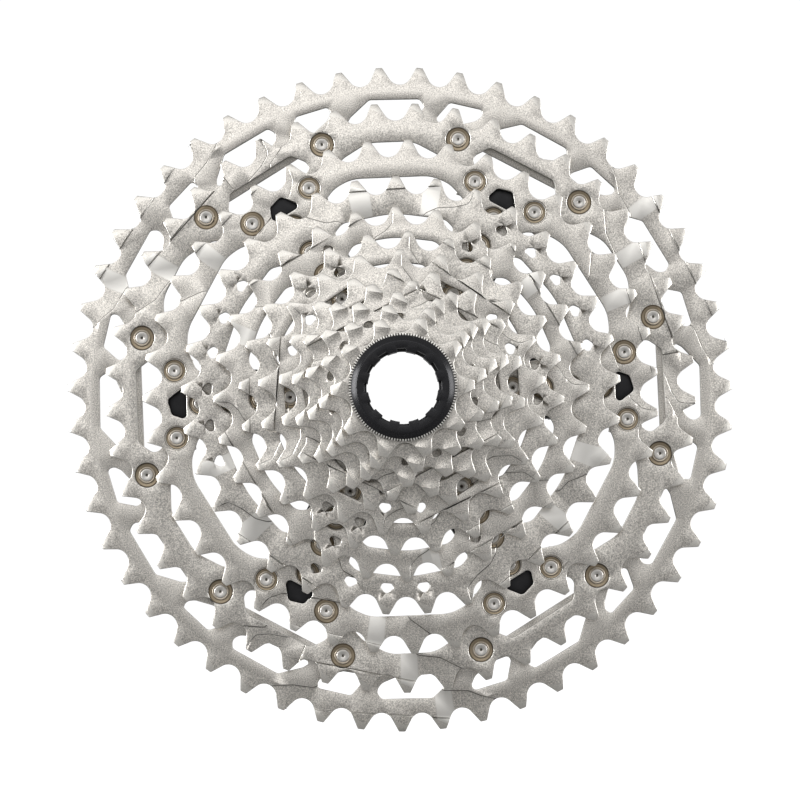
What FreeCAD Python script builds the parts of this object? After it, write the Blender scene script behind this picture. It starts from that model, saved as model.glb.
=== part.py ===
import FreeCAD, Part
import math
import os

import Sketcher

# A twelve-sprocket bicycle cassette. The axle runs along Y: the hub side is +Y, the small sprockets
# and the lock ring face -Y, and +Z is up. The origin is on the axle, in the plane where the carrier's
# back face rests on the freehub's shoulder. Angles are in degrees, counter-clockwise from +X as seen
# from the lock ring. Each sprocket is drawn with its front face at Y = 0 and a tooth on +X, and its
# Placement turns it to its own clocking and moves it to its step on the axle.

os.makedirs("parts", exist_ok=True)
doc = FreeCAD.newDocument("cassette")

# ---------------------------------------------------------------- driving dimensions, millimetres

SIZES = {
    # chain and teeth
    "chain_pitch": 12.7,
    "roller_diameter": 7.75,
    "seat_clearance": 0.08,
    "tooth_height": 1.5,
    "small_tooth_height": 1.1,
    "tip_width": 2.0,
    "small_tip_width": 2.8,
    "tooth_lean": 0.35,
    "facet_drop": 2.4,
    "facet_depth": 0.65,
    "facet_slant": 0.45,
    # sprocket plates
    "sprocket_spacing": 3.6,
    "plate_thickness": 1.9,
    "tooth_relief": 0.25,
    "tip_bevel": 0.35,
    "ridge_inset": 1.2,
    "ridge_width": 0.6,
    "gate_depth": 0.6,
    # numbers of teeth
    "teeth_51": 51,
    "teeth_45": 45,
    "teeth_39": 39,
    "teeth_33": 33,
    "teeth_28": 28,
    "teeth_24": 24,
    "teeth_21": 21,
    "teeth_18": 18,
    "teeth_16": 16,
    "teeth_14": 14,
    "teeth_12": 12,
    "teeth_10": 10,
    # rims, measured inwards from the bottom of the teeth
    "rim_51": 4.5,
    "inner_ring_51": 16.8,
    "rim_45": 3.8,
    "arch_45": 6.7,
    "rim_39": 5.3,
    "rim_33": 6.4,
    "rim_28": 4.2,
    "rim_24": 4.5,
    "window_rim_21": 2.8,
    "window_rim_18": 3.3,
    # rivets
    "rivet_shank_radius": 2.0,
    "rivet_head_radius": 2.8,
    "rivet_head_height": 0.5,
    "rivet_tail_height": 0.8,
    "rivet_clearance": 0.02,
    "rivet_recess_radius": 3.9,
    "inner_recess_radius": 3.5,
    "collar_radius": 4.2,
    "boss_radius": 5.0,
    "rivet_inset_45": 4.1,
    "rivet_inset_39": 4.0,
    "rivet_inset_33": 0.4,
    "rivet_inset_28": 0.4,
    "rivet_inset_24": 1.3,
    "rivet_inset_21": 4.5,
    "carrier_grip": 3.6,
    "tail_pocket_radius": 3.5,
    # freehub interface and carrier
    "spline_teeth": 23,
    "spline_radius": 15.0,
    "spline_depth": 0.8,
    "spline_clearance": 0.05,
    "pilot_step": 0.5,
    "pilot_depth": 3.0,
    "hub_wall": 6.0,
    "hub_root_radius": 24.5,
    "arm_overhang": 3.6,
    "arm_tip_half": 5.2,
    "arm_neck_half": 6.4,
    "arm_half": 9.4,
    "arm_thickness": 6.5,
    "arm_tip_thickness": 2.7,
    "step_wall": 0.5,
    "tab_gap": 0.3,
    # small sprockets
    "spacer_radius": 19.0,
    "spacer_bore_clearance": 0.3,
    "collar_inset_12": 2.6,
    "collar_inset_10": 0.7,
    # lock ring
    "freehub_wall": 1.2,
    "lock_ring_wall": 2.1,
    "lock_ring_flange_radius": 15.6,
    "lock_ring_face_radius": 13.8,
    "lock_ring_flange": 2.1,
    "lock_ring_chamfer": 1.3,
    "lock_ring_shank": 8.5,
    "tool_lugs": 12,
    "tool_lug_height": 0.35,
    "tool_lug_width": 2.9,
    "tool_lug_length": 5.0,
    "tool_groove_depth": 0.8,
    "tool_stop": 1.5,
    "washer_radius": 16.3,
    "washer_thickness": 0.8,
    "washer_serrations": 90,
    "washer_clearance": 0.15,
}

# Where the pieces stand round the axle.
ARM_ANGLE = 2.4
PAIR_HALF_ANGLE = 8.5
BOSS_ANGLE = 17.4
D_WINDOW_ANGLE = 4.2
WINDOW_ANGLE_18 = -1.0
TOOL_GROOVE_ANGLE = 2.0

# Angle of the first tooth of each sprocket, and its step along the axle.
CLOCKING = {51: 1.8, 45: 7.0, 39: 5.1, 33: 3.9, 28: 1.5, 24: 12.2, 21: 4.6, 18: 14.0, 16: 16.2,
            14: 15.2, 12: 10.0, 10: 1.5}
STEP = {teeth: index for index, teeth in enumerate(CLOCKING)}

sheet = doc.addObject("Spreadsheet::Sheet", "Sizes")
for row, (alias, value) in enumerate(SIZES.items(), start=1):
    sheet.set(f"A{row}", alias)
    sheet.set(f"B{row}", str(value))
    sheet.setAlias(f"B{row}", alias)
doc.recompute()

NODES = []


def size(text):
    """Value of an expression on the sheet's aliases, each written as Sizes.alias."""
    value = sheet.evalExpression(text)
    return float(getattr(value, "Value", value))


def pitch_radius(teeth):
    return f"(Sizes.chain_pitch / (2 * sin(180 / Sizes.teeth_{teeth})))"


def root_radius(teeth):
    return f"({pitch_radius(teeth)} - Sizes.roller_diameter / 2 - Sizes.seat_clearance)"


def tip_radius(teeth):
    height = "tooth_height" if teeth > 18 else "small_tooth_height"
    return f"({pitch_radius(teeth)} + Sizes.{height})"


def front_plane(teeth):
    return f"(-Sizes.sprocket_spacing * {STEP[teeth]})"


SEAT_RADIUS = "(Sizes.roller_diameter / 2 + Sizes.seat_clearance)"
SPLINE_MAJOR = "(Sizes.spline_radius + Sizes.spline_clearance)"
SPLINE_MINOR = "(Sizes.spline_radius - Sizes.spline_depth + Sizes.spline_clearance)"
PILOT_RADIUS = "(Sizes.spline_radius + Sizes.pilot_step)"
SHANK_RADIUS = "(Sizes.spline_radius - Sizes.spline_depth - Sizes.freehub_wall)"
LOCK_RING_BORE = f"({SHANK_RADIUS} - Sizes.lock_ring_wall)"
LUG_RADIUS = f"({LOCK_RING_BORE} - Sizes.tool_lug_height)"
GROOVE_RADIUS = f"({LOCK_RING_BORE} + Sizes.tool_groove_depth)"
HUB_RADIUS = "(Sizes.spline_radius + Sizes.hub_wall)"
HOLE_RADIUS = "(Sizes.rivet_shank_radius + Sizes.rivet_clearance)"
COLLAR_LENGTH = "(Sizes.sprocket_spacing - Sizes.plate_thickness)"

# Rivet circles, each set inwards from the bottom of the teeth of the sprocket it has to clear.
RIVET_CIRCLE = {
    51: f"({root_radius(45)} - Sizes.rivet_inset_45)",
    45: f"({root_radius(39)} - Sizes.rivet_inset_39)",
    39: f"({root_radius(33)} - Sizes.rivet_inset_33)",
    33: f"({root_radius(28)} - Sizes.rivet_inset_28)",
    28: f"({root_radius(24)} - Sizes.rivet_inset_24)",
    24: f"({root_radius(21)} - Sizes.rivet_inset_21)",
}

# Inner ends of the tabs that stand on the carrier's steps.
TAB_END = {teeth: f"({RIVET_CIRCLE[teeth]} - Sizes.boss_radius)" for teeth in (39, 33, 28, 24)}

ARM_ANGLES = [ARM_ANGLE + 60 * index for index in range(6)]
BOSS_ANGLES = [BOSS_ANGLE + 30 * index for index in range(12)]
PAIR_ANGLES = [arm + side * PAIR_HALF_ANGLE for arm in ARM_ANGLES for side in (-1, 1)]

# ---------------------------------------------------------------- drawing helpers


def new_body(label):
    body = doc.addObject("PartDesign::Body", label)
    body.Label = label
    NODES.append(body)
    return body


def origin_feature(body, role):
    return next(item for item in body.Origin.OriginFeatures if item.Role == role)


def new_sketch(body, name, role, depth="0"):
    """A sketch on one of the body's origin planes; depth moves an XZ sketch towards +Y."""
    sketch = body.newObject("Sketcher::SketchObject", name)
    sketch.AttachmentSupport = [(origin_feature(body, role), "")]
    sketch.MapMode = "FlatFace"
    if depth != "0":
        sketch.setExpression("AttachmentOffset.Base.z", f"-({depth})")
    return sketch


def bound_loop(sketch, corners):
    """Straight-sided outline whose corners are tied to the sheet; corners are expression pairs."""
    points = [FreeCAD.Vector(size(across), size(along), 0) for across, along in corners]
    count = len(points)
    for index, point in enumerate(points):
        sketch.addGeometry(Part.LineSegment(point, points[(index + 1) % count]))
    for index in range(count):
        sketch.addConstraint(Sketcher.Constraint("Coincident", index, 2, (index + 1) % count, 1))
    for index, (across, along) in enumerate(corners):
        for kind, text, value in (("DistanceX", across, points[index].x),
                                  ("DistanceY", along, points[index].y)):
            place = sketch.addConstraint(Sketcher.Constraint(kind, -1, 1, index, 1, value))
            sketch.setExpression(f"Constraints[{place}]", text)


def polar(radius, angle):
    return (radius * math.cos(math.radians(angle)), radius * math.sin(math.radians(angle)))


def rounded_loop(sketch, corners):
    """Closed outline of (x, y, corner radius); each corner is a tangent arc, limited by its sides."""
    points = [FreeCAD.Vector(x, y, 0) for x, y, _ in corners]
    count = len(points)
    joints = []
    for index, (_, _, radius) in enumerate(corners):
        here = points[index]
        into = here - points[index - 1]
        out = points[(index + 1) % count] - here
        turn = into.getAngle(out)
        room = 0.49 * min(into.Length, out.Length)
        into.normalize()
        out.normalize()
        if radius <= 0 or turn < 1e-4:
            joints.append((here, None, here))
            continue
        half = math.tan(turn / 2)
        reach = min(radius * half, room)
        bend = reach / half
        inward = (out - into).normalize()
        middle = here + inward * (bend / math.cos(turn / 2) - bend)
        joints.append((here - into * reach, middle, here + out * reach))
    for index, (start, middle, end) in enumerate(joints):
        if middle is not None:
            sketch.addGeometry(Part.Arc(start, middle, end))
        following = joints[(index + 1) % count][0]
        if (following - end).Length > 1e-6:
            sketch.addGeometry(Part.LineSegment(end, following))


def polar_loop(sketch, corners, turn=0.0):
    """rounded_loop for corners given as (radius, angle, corner radius)."""
    rounded_loop(sketch, [(*polar(radius, angle - turn), bend) for radius, angle, bend in corners])


def circles(sketch, spots, radius_text):
    """Equal circles at (radius, angle) spots, their radius tied to the sheet."""
    first = None
    for radius, angle in spots:
        centre = FreeCAD.Vector(*polar(radius, angle), 0)
        place = sketch.addGeometry(Part.Circle(centre, FreeCAD.Vector(0, 0, 1), size(radius_text)))
        if first is None:
            first = place
            rule = sketch.addConstraint(Sketcher.Constraint("Radius", place, size(radius_text)))
            sketch.setExpression(f"Constraints[{rule}]", radius_text)
        else:
            sketch.addConstraint(Sketcher.Constraint("Equal", first, place))
        sketch.addConstraint(Sketcher.Constraint("Block", place))


def revolve(body, corners):
    """Turn a (radius, Y) section about the axle."""
    sketch = new_sketch(body, "section", "XY_Plane")
    bound_loop(sketch, corners)
    turned = body.newObject("PartDesign::Revolution", "blank")
    turned.Profile = sketch
    turned.ReferenceAxis = (sketch, ["V_Axis"])
    turned.Angle = 360
    return turned


def pad(body, sketch, length_text):
    """Grow a sketch on an XZ plane towards +Y."""
    grown = body.newObject("PartDesign::Pad", "pad")
    grown.Profile = sketch
    grown.Reversed = True
    grown.setExpression("Length", length_text)
    return grown


def pocket(body, sketch, depth_text=None):
    """Cut a sketch on an XZ plane towards +Y, through everything where no depth is given."""
    cut = body.newObject("PartDesign::Pocket", "pocket")
    cut.Profile = sketch
    cut.Reversed = False
    if depth_text is None:
        cut.Type = "ThroughAll"
    else:
        cut.setExpression("Length", depth_text)
    return cut


def repeat(body, features, count_text):
    """Repeat features evenly round the axle."""
    pattern = body.newObject("PartDesign::PolarPattern", "pattern")
    pattern.Originals = features
    pattern.Axis = (origin_feature(body, "Y_Axis"), [""])
    pattern.Angle = 360
    pattern.Refine = False
    pattern.setExpression("Occurrences", count_text)
    body.Tip = pattern
    return pattern


def spline_bore(body, start="0"):
    """Cut the freehub's splines into the wall of a bore that already has the minor radius."""
    minor = size(SPLINE_MINOR)
    major = size(SPLINE_MAJOR)
    half_wide = 90 / size("Sizes.spline_teeth")
    sketch = new_sketch(body, "spline_groove", "XZ_Plane", start)
    polar_loop(sketch, [(minor - 1, -half_wide, 0), (major, -0.8 * half_wide, 0.2),
                        (major, 0.8 * half_wide, 0.2), (minor - 1, half_wide, 0)])
    repeat(body, [pocket(body, sketch)], "Sizes.spline_teeth")


# ---------------------------------------------------------------- toothed blanks


def toothed_blank(teeth, inner_text, collar_text=None):
    """Plate with a thinner tooth zone behind a coined ridge, its teeth, and a back collar if any."""
    body = new_body(f"sprocket_{teeth}")
    root = root_radius(teeth)
    tip = tip_radius(teeth)
    ridge = f"{root} - Sizes.ridge_inset"
    front = "Sizes.tooth_relief"
    back = "Sizes.plate_thickness"
    section = [(inner_text, "0"),
               (f"{ridge} - Sizes.ridge_width", "0"),
               (ridge, front),
               (tip, front),
               (tip, f"{back} - Sizes.tip_bevel"),
               (f"{tip} - 2 * Sizes.tip_bevel", back)]
    if collar_text is None:
        section.append((inner_text, back))
    else:
        section += [(collar_text, back), (collar_text, "Sizes.sprocket_spacing"),
                    (inner_text, "Sizes.sprocket_spacing")]
    revolve(body, section)
    cut_facets(body, teeth)
    cut_gaps(body, teeth)
    body.Placement.Rotation = FreeCAD.Rotation(FreeCAD.Vector(0, -1, 0), CLOCKING[teeth])
    body.setExpression("Placement.Base.y", front_plane(teeth))
    return body


def cut_facets(body, teeth):
    """Slanting bevel across the front of each tooth tip."""
    tip = size(tip_radius(teeth))
    low = tip - size("Sizes.facet_drop")
    front = size("Sizes.tooth_relief")
    reach = 1.0
    slope = size("Sizes.facet_depth / Sizes.facet_drop")
    sketch = new_sketch(body, "facet", "XY_Plane")
    rounded_loop(sketch, [(low - reach, front - slope * reach, 0),
                          (tip + reach, front + size("Sizes.facet_depth") + slope * reach, 0),
                          (tip + reach, front - slope * reach, 0)])
    cut = body.newObject("PartDesign::Pocket", "facet_cut")
    cut.Profile = sketch
    cut.Midplane = True
    cut.Length = 7.0
    cut.UseCustomVector = True
    cut.Direction = FreeCAD.Vector(size("Sizes.facet_slant"), 0, 1)
    cut.AlongSketchNormal = False
    repeat(body, [cut], f"Sizes.teeth_{teeth}")


def cut_gaps(body, teeth):
    """Roller gaps: a seat arc with a straight flank tangent to it on each side."""
    tip = size(tip_radius(teeth))
    tip_width = size("Sizes.tip_width" if teeth > 18 else "Sizes.small_tip_width")
    seat = size(SEAT_RADIUS)
    pitch = size(pitch_radius(teeth))
    half_step = 180 / size(f"Sizes.teeth_{teeth}")
    edge_angle = half_step - math.degrees(math.asin(tip_width / 2 / tip))
    edge_x, edge_y = polar(tip, edge_angle)
    rise = edge_x - pitch
    flank = math.atan2(edge_y, rise) - math.asin(seat / math.hypot(rise, edge_y))
    apex = pitch - seat / math.sin(flank)
    spread = edge_y + 2.0 * math.tan(flank)
    lean = size("Sizes.tooth_lean")
    corners = [(edge_x + 2.0, lean - spread, 0), (apex, 0, seat), (edge_x + 2.0, lean + spread, 0)]
    sketch = new_sketch(body, "gap", "XZ_Plane")
    turned = []
    for x, y, bend in corners:
        radius = math.hypot(x, y)
        angle = math.degrees(math.atan2(y, x)) + half_step
        turned.append((radius, angle, bend))
    polar_loop(sketch, turned)
    repeat(body, [pocket(body, sketch)], f"Sizes.teeth_{teeth}")


def cut_web(body, teeth, name, loops, count, depth_text=None):
    """Cut polar outlines through the web, repeated evenly round the axle."""
    sketch = new_sketch(body, name, "XZ_Plane")
    for corners in loops:
        polar_loop(sketch, corners, CLOCKING[teeth])
    repeat(body, [pocket(body, sketch, depth_text)], str(count))


def cut_rivet_seats(body, teeth, circle_text, angles, recess_text=None):
    """Rivet holes, and shallow recesses for the heads where a recess radius is given."""
    radius = size(circle_text)
    spots = [(radius, angle - CLOCKING[teeth]) for angle in angles]
    sketch = new_sketch(body, "rivet_holes", "XZ_Plane")
    circles(sketch, spots, HOLE_RADIUS)
    pocket(body, sketch)
    if recess_text is not None:
        sketch = new_sketch(body, "rivet_recesses", "XZ_Plane")
        circles(sketch, spots, recess_text)
        pocket(body, sketch, "Sizes.rivet_head_height")


def cut_drops(body, teeth, chosen):
    """Drop-shaped lightening holes under the chosen teeth."""
    root = size(root_radius(teeth))
    pitch_angle = 360 / teeth
    sketch = new_sketch(body, "drops", "XZ_Plane")
    for index in chosen:
        angle = index * pitch_angle
        wide = math.degrees(2.1 / root)
        polar_loop(sketch, [(root - 0.9, angle, 0.8), (root - 2.6, angle - wide, 1.4),
                            (root - 4.1, angle - 0.8 * wide, 1.1), (root - 4.1, angle + 0.8 * wide, 1.1),
                            (root - 2.6, angle + wide, 1.4)])
    pocket(body, sketch)


def cut_gate(body, teeth, starts, corners, depth_text="Sizes.gate_depth"):
    """Shallow shift gates: the same polar outline at each start angle."""
    sketch = new_sketch(body, "gate", "XZ_Plane")
    for start in starts:
        polar_loop(sketch, [(radius, start + angle, bend) for radius, angle, bend in corners],
                   CLOCKING[teeth])
    pocket(body, sketch, depth_text)


def side_angle(half_width, radius):
    """Angle at which a straight arm of this half width ends, seen from the axle."""
    return math.degrees(math.asin(half_width / radius))


# ---------------------------------------------------------------- the six riveted sprockets


def build_51():
    root = size(root_radius(51))
    rim = root - size("Sizes.rim_51")
    ring = size(f"{RIVET_CIRCLE[51]}")
    inner = root - size("Sizes.inner_ring_51")
    foot = ring + size("Sizes.boss_radius") - 0.2
    body = toothed_blank(51, f"{RIVET_CIRCLE[51]} - Sizes.boss_radius")
    small = [(rim, -3.4, 1.5), (rim, 3.1, 1.5), (foot, 5.9, 1.4), (foot, 0.8, 1.4),
             (rim - 4.2, -2.6, 3.0), (rim - 2.2, -3.6, 2.0)]
    large = [(rim, 8.9, 1.5), (rim, 18.6, 1.8), (rim - 4.7, 22.7, 3.0), (foot, 23.9, 1.6),
             (foot, 11.6, 2.0), (rim - 4.7, 8.6, 4.0), (rim - 2.2, 7.9, 2.0)]
    notch = [(inner, 4.4, 2.0), (inner, 25.6, 2.0), (inner - 8, 27.2, 0), (inner - 8, 2.8, 0)]
    loops = [[(r, BOSS_ANGLE + angle, bend) for r, angle, bend in loop]
             for loop in (small, large, notch)]
    cut_web(body, 51, "legs", loops, 12)
    cut_rivet_seats(body, 51, RIVET_CIRCLE[51], BOSS_ANGLES)
    tip = size(tip_radius(51)) + 2
    gate = [(tip, 5.4, 0), (root, 5.5, 2), (root - 3.1, 9.4, 3), (rim + 0.1, 13.6, 2), (rim - 7, 15.5, 0),
            (rim - 7, 36.5, 0), (rim - 2.0, 38.0, 2), (rim - 0.4, 43.0, 2.5), (rim + 2.0, 45.0, 2.5),
            (root, 47.7, 1), (tip, 47.7, 0)]
    cut_gate(body, 51, (0, 120, 240), gate)


def build_45():
    root = size(root_radius(45))
    circle = size(RIVET_CIRCLE[45])
    slot = root - size("Sizes.rim_45")
    arch = root - size("Sizes.arch_45")
    inner = circle - size("Sizes.boss_radius")
    pair_gap = PAIR_HALF_ANGLE - side_angle(size("Sizes.boss_radius"), circle)
    pair_far = 30 - PAIR_HALF_ANGLE - side_angle(size("Sizes.boss_radius"), circle)
    body = toothed_blank(45, f"{RIVET_CIRCLE[45]} - Sizes.boss_radius")
    slot_loop = [(slot, -7.8, 2.5), (slot, 7.8, 2.5), (slot - 4.0, 10.6, 3.0), (slot - 6.4, 10.4, 3.0),
                 (circle + 1.5, pair_gap, 3.0), (inner - 3, pair_gap, 0), (inner - 3, -pair_gap, 0),
                 (circle + 1.5, -pair_gap, 3.0), (slot - 6.4, -10.4, 3.0), (slot - 4.0, -10.6, 3.0)]
    arch_loop = [(arch + 0.2, -5.0, 10.0), (arch + 0.2, 5.0, 10.0), (arch - 3.4, 11.4, 8.0),
                 (circle, pair_far, 4.0), (inner - 3, pair_far + 0.5, 0),
                 (inner - 3, -pair_far - 0.5, 0), (circle, -pair_far, 4.0), (arch - 3.4, -11.4, 8.0)]
    loops = [[(r, ARM_ANGLE + angle, bend) for r, angle, bend in slot_loop],
             [(r, ARM_ANGLE + 30 + angle, bend) for r, angle, bend in arch_loop]]
    cut_web(body, 45, "arms", loops, 6)
    cut_rivet_seats(body, 45, RIVET_CIRCLE[51], BOSS_ANGLES, "Sizes.rivet_recess_radius")
    cut_rivet_seats(body, 45, RIVET_CIRCLE[45], PAIR_ANGLES)
    tip = size(tip_radius(45)) + 2
    gate = [(tip, -4.8, 0), (root, -4.8, 1.5), (slot + 0.4, -0.6, 1), (slot - 8, 2, 0), (slot - 8, 31, 0),
            (arch + 0.5, 33.5, 2), (arch + 2.0, 38.5, 2.5), (root, 42.7, 1), (tip, 42.7, 0)]
    cut_gate(body, 45, (0, 120, 240), gate)
    lead_in = [(tip, -1.6, 0), (root, -1.4, 2), (slot + 1.4, 1.0, 2), (slot, 4.2, 1), (slot - 1, 6.0, 0),
               (slot - 1, 9.0, 0), (root, 9.0, 0), (tip, 9.0, 0)]
    cut_gate(body, 45, (0, 120, 240), lead_in, "1.5 * Sizes.gate_depth")


def build_39():
    root = size(root_radius(39))
    circle = size(RIVET_CIRCLE[45])
    arm = size(RIVET_CIRCLE[39])
    rim = root - size("Sizes.rim_39")
    inner = size(TAB_END[39])
    body = toothed_blank(39, TAB_END[39])
    arm_half = 10.0
    at_shoulder = 30 - side_angle(arm_half, arm + 1.5)
    at_end = 30 - side_angle(arm_half - 2.0, inner - 2)
    window = [(rim, -10.5, 14), (rim, 10.5, 14), (rim - 1.6, 15.5, 9), (arm + 1.5, at_shoulder, 4),
              (inner - 2, at_end, 0), (inner - 2, -at_end, 0), (arm + 1.5, -at_shoulder, 4),
              (rim - 1.6, -15.5, 9)]
    peep = [(circle - 3.9, -5.0, 1.3), (circle - 3.9, 4.3, 1.3), (circle + 0.6, 2.6, 1.4),
            (circle + 1.8, -1.2, 1.6)]
    loops = [[(r, ARM_ANGLE + 30 + angle, bend) for r, angle, bend in window],
             [(r, ARM_ANGLE + angle, bend) for r, angle, bend in peep]]
    cut_web(body, 39, "arms", loops, 6)
    cut_rivet_seats(body, 39, RIVET_CIRCLE[45], PAIR_ANGLES, "Sizes.inner_recess_radius")
    cut_rivet_seats(body, 39, RIVET_CIRCLE[39], ARM_ANGLES, "Sizes.inner_recess_radius")
    tip = size(tip_radius(39)) + 2
    gate = [(tip, -3.8, 0), (root + 0.2, -3.2, 3), (rim + 1.8, -0.8, 2), (rim + 0.8, 2.5, 2),
            (rim - 1.5, 8.0, 0), (rim - 1.5, 31.5, 0), (rim + 0.2, 32.5, 1), (root, 37.2, 1),
            (tip, 37.2, 0)]
    cut_gate(body, 39, (0, 120, 240), gate)


def tabbed_sprocket(teeth, rim_alias, rim_half, shoulder_half, tab_half):
    """A ring with six tabs that stand on the carrier's step."""
    root = size(root_radius(teeth))
    rim = root - size(f"Sizes.{rim_alias}")
    circle = size(RIVET_CIRCLE[teeth])
    inner = size(TAB_END[teeth])
    body = toothed_blank(teeth, TAB_END[teeth])
    middle = (rim + circle) / 2
    at_rivet = 30 - side_angle(tab_half, circle)
    at_end = 30 - side_angle(tab_half - 1.0, inner - 2)
    window = [(rim, -rim_half, 4), (rim + 0.3, 0, 30), (rim, rim_half, 4), (middle, shoulder_half, 4),
              (circle, at_rivet, 3), (inner - 2, at_end, 0), (inner - 2, -at_end, 0),
              (circle, -at_rivet, 3), (middle, -shoulder_half, 4)]
    loops = [[(r, ARM_ANGLE + 30 + angle, bend) for r, angle, bend in window]]
    cut_web(body, teeth, "tabs", loops, 6)
    cut_rivet_seats(body, teeth, RIVET_CIRCLE[teeth], ARM_ANGLES, "Sizes.inner_recess_radius")
    return body


def swept_gate(teeth, length, lead):
    """Gate outline from its first tooth gap: lead is the angle over which the edge curves inwards."""
    root = size(root_radius(teeth))
    tip = size(tip_radius(teeth)) + 2
    deep = root - 8.5
    return [(tip, 0, 0), (root + 0.3, 0.3, 2), (root - 2.2, 0.35 * lead, 2.5),
            (root - 3.6, 0.75 * lead, 2.5), (root - 5.6, lead, 2), (deep, 1.2 * lead, 0),
            (deep, length - 0.9 * lead, 0), (root - 5.4, length - 0.7 * lead, 2),
            (root - 4.6, length - 0.4 * lead, 2), (root, length, 1.5), (tip, length, 0)]


def build_33():
    body = tabbed_sprocket(33, "rim_33", 16.5, 20.0, 9.4)
    cut_drops(body, 33, (1, 2, 3, 4, 5, 13, 14, 15, 16, 17, 18, 22, 23, 24, 25))
    cut_gate(body, 33, (70.0, 211.5, 288.5), swept_gate(33, 48.5, 12.0))


def build_28():
    body = tabbed_sprocket(28, "rim_28", 15.5, 19.0, 8.6)
    cut_drops(body, 28, (5, 9, 19, 23))
    cut_gate(body, 28, (2.6, 92.6, 182.6, 272.6), swept_gate(28, 57.0, 9.0))


def build_24():
    body = tabbed_sprocket(24, "rim_24", 13.0, 15.5, 8.0)
    cut_drops(body, 24, (0, 7, 8, 15, 16, 23))
    cut_gate(body, 24, (35.0, 155.0, 275.0), swept_gate(24, 52.0, 12.0))


# ---------------------------------------------------------------- the six loose sprockets


def build_21():
    body = toothed_blank(21, SPLINE_MINOR)
    window = size(root_radius(21)) - size("Sizes.window_rim_21")
    inner = window - 5.6
    half = 4.2
    outer_angle = math.degrees(math.atan2(half, window))
    inner_angle = math.degrees(math.atan2(half - 1.0, inner))
    corner = math.hypot(window, half)
    loops = [[(corner, D_WINDOW_ANGLE - outer_angle, 0.4), (corner, D_WINDOW_ANGLE + outer_angle, 0.4),
              (inner, D_WINDOW_ANGLE + inner_angle, 2.4), (inner, D_WINDOW_ANGLE - inner_angle, 2.4)]]
    cut_web(body, 21, "windows", loops, 6)
    cut_drops(body, 21, (1, 2, 8, 9, 15, 16))
    cut_gate(body, 21, (22.0, 142.0, 262.0), swept_gate(21, 68.0, 14.0))
    spline_bore(body)


def build_18():
    body = toothed_blank(18, SPLINE_MINOR)
    outer = size(root_radius(18)) - size("Sizes.window_rim_18")
    inner = size("Sizes.spacer_radius") + 3.0
    loops = [[(outer, WINDOW_ANGLE_18 - 17.0, 2.5), (outer + 1.2, WINDOW_ANGLE_18, 24),
              (outer, WINDOW_ANGLE_18 + 17.0, 2.5), (inner, WINDOW_ANGLE_18 + 14.0, 2.0),
              (inner, WINDOW_ANGLE_18 - 14.0, 2.0)]]
    cut_web(body, 18, "windows", loops, 6)
    cut_gate(body, 18, (24.0, 204.0), swept_gate(18, 80.0, 15.0))
    spline_bore(body)


def build_16():
    body = toothed_blank(16, SPLINE_MINOR)
    cut_gate(body, 16, (72.5, 252.5), swept_gate(16, 90.0, 16.0))
    spline_bore(body)


def build_14():
    body = toothed_blank(14, SPLINE_MINOR)
    root = size(root_radius(14))
    sketch = new_sketch(body, "ovals", "XZ_Plane")
    for index in range(14):
        angle = index * 360 / 14
        polar_loop(sketch, [(root - 1.5, angle - 3.2, 1.0), (root - 1.5, angle + 3.2, 1.0),
                            (root - 3.6, angle + 4.2, 1.0), (root - 3.6, angle - 4.2, 1.0)])
    pocket(body, sketch)
    spline_bore(body)


def build_12():
    body = toothed_blank(12, SPLINE_MINOR, f"{root_radius(12)} - Sizes.collar_inset_12")
    spline_bore(body)


def build_10():
    body = toothed_blank(10, SPLINE_MINOR, f"{root_radius(10)} - Sizes.collar_inset_10")
    spline_bore(body)


# ---------------------------------------------------------------- carrier


def seat_plane(teeth):
    """Y of the carrier's step that a sprocket stands on: the sprocket's back face."""
    return f"(-Sizes.sprocket_spacing * {STEP[teeth]} + Sizes.plate_thickness)"


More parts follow.
